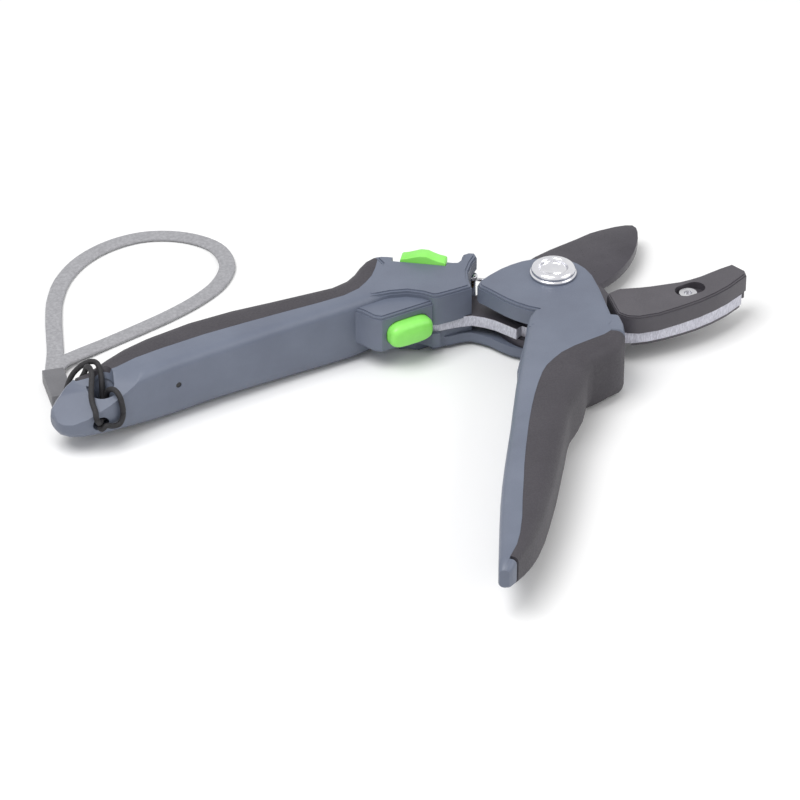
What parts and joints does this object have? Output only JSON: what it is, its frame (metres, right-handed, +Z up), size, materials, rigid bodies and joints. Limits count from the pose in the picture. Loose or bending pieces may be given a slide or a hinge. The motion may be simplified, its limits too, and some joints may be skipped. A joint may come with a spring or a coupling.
{
  "type": "battery electric pruner",
  "caption": "One-hand battery pruner with a sprung lever, a bypassing blade on a padded anvil plate, a start button, a lock slider and a wrist lanyard.",
  "frame": {"origin": "on the blade pivot's axis, at the level of the surface that the tool lies on", "axes": "+X from the main handle towards the jaws, +Z up along the pivot's axis, +Y to the side the blade opens to"},
  "size_m": [0.2303, 0.253, 0.0262],
  "materials": {
    "body_plastic": "slate grey fine-textured glass-filled nylon",
    "grip_rubber": "charcoal soft overmould",
    "control_plastic": "lime green moulded plastic",
    "plate_steel": "blackened faces with bright sheared edges",
    "coated_steel": "black low-friction coating",
    "pad_nylon": "black moulded nylon with fine teeth",
    "polished_steel": "polished and turned",
    "bright_steel": "bright zinc-plated steel",
    "cell_wrap": "blue heat-shrink sleeve",
    "board": "green fibreglass laminate",
    "switch_plastic": "black moulded",
    "gear_case": "die-cast",
    "lens": "smoked clear plastic",
    "wire_sleeve": "smooth insulation",
    "cord": "braided black polyester",
    "ferrule_plastic": "dark grey moulded",
    "webbing": "grey woven tape",
    "yoke_brass": "machined"
  },
  "bodies": {
    "handle": {"upper_shell": "body_plastic", "lower_shell": "body_plastic", "main_grip": "grip_rubber", "anvil_plate": "plate_steel", "anvil_pad": "pad_nylon", "anvil_screw": "bright_steel", "plate_screws": "bright_steel", "pivot_bolt": "polished_steel", "pivot_nut": "bright_steel", "pivot_spacer": "bright_steel", "spring_post": "polished_steel", "opening_spring": "bright_steel", "battery_cell": "cell_wrap", "cell_contacts": "bright_steel", "circuit_board": "board", "charging_socket": "bright_steel", "trigger_switch": "switch_plastic", "power_switch": "switch_plastic", "motor": "bright_steel", "gearbox": "gear_case", "screw_bearing": "bright_steel", "shell_screws": "bright_steel", "status_light": "lens", "wiring": "wire_sleeve", "lanyard_cord": "cord", "lanyard_ferrule": "ferrule_plastic", "wrist_strap": "webbing"},
    "lever": {"lever_top_shell": "body_plastic", "lever_bottom_shell": "body_plastic", "lever_grip": "grip_rubber", "blade": "coated_steel", "drive_pin": "bright_steel", "lever_screws": "bright_steel"},
    "button": {"start_button": "control_plastic"},
    "slider": {"lock_slider": "control_plastic"},
    "screw": {"lead_screw": "bright_steel"},
    "yoke": {"drive_yoke": "yoke_brass"}
  },
  "joints": [
    {"name": "lever_hinge", "type": "hinge", "parent": "handle", "child": "lever", "pos_m": [0, 0, 0], "axis": [0, 0, 1], "range_deg": [-49, 0], "stiffness_Nm_per_rad": 0.25, "springref_deg": 34.38, "deforming": ["opening_spring"]},
    {"name": "button_press", "type": "slide", "parent": "handle", "child": "button", "axis": [0, 1, 0], "range_m": [0, 0.0025], "stiffness_N_per_m": 900, "springref_m": -0.001},
    {"name": "lock_slide", "type": "slide", "parent": "handle", "child": "slider", "axis": [-0.7644, 0.6447, 0], "range_m": [0, 0.0025]},
    {"name": "screw_spin", "type": "hinge", "parent": "handle", "child": "screw", "pos_m": [-0.03, 0.0204, 0.0115], "axis": [1, 0, 0], "range_deg": [0, 2030]},
    {"name": "yoke_slide", "type": "slide", "parent": "handle", "child": "yoke", "axis": [1, 0, 0], "range_m": [0, 0.01125]}
  ],
  "couplings": [
    {"joint": "yoke_slide", "follows": "lever_hinge", "m_per_rad": -0.013092},
    {"joint": "screw_spin", "follows": "lever_hinge", "ratio": -41.13}
  ]
}
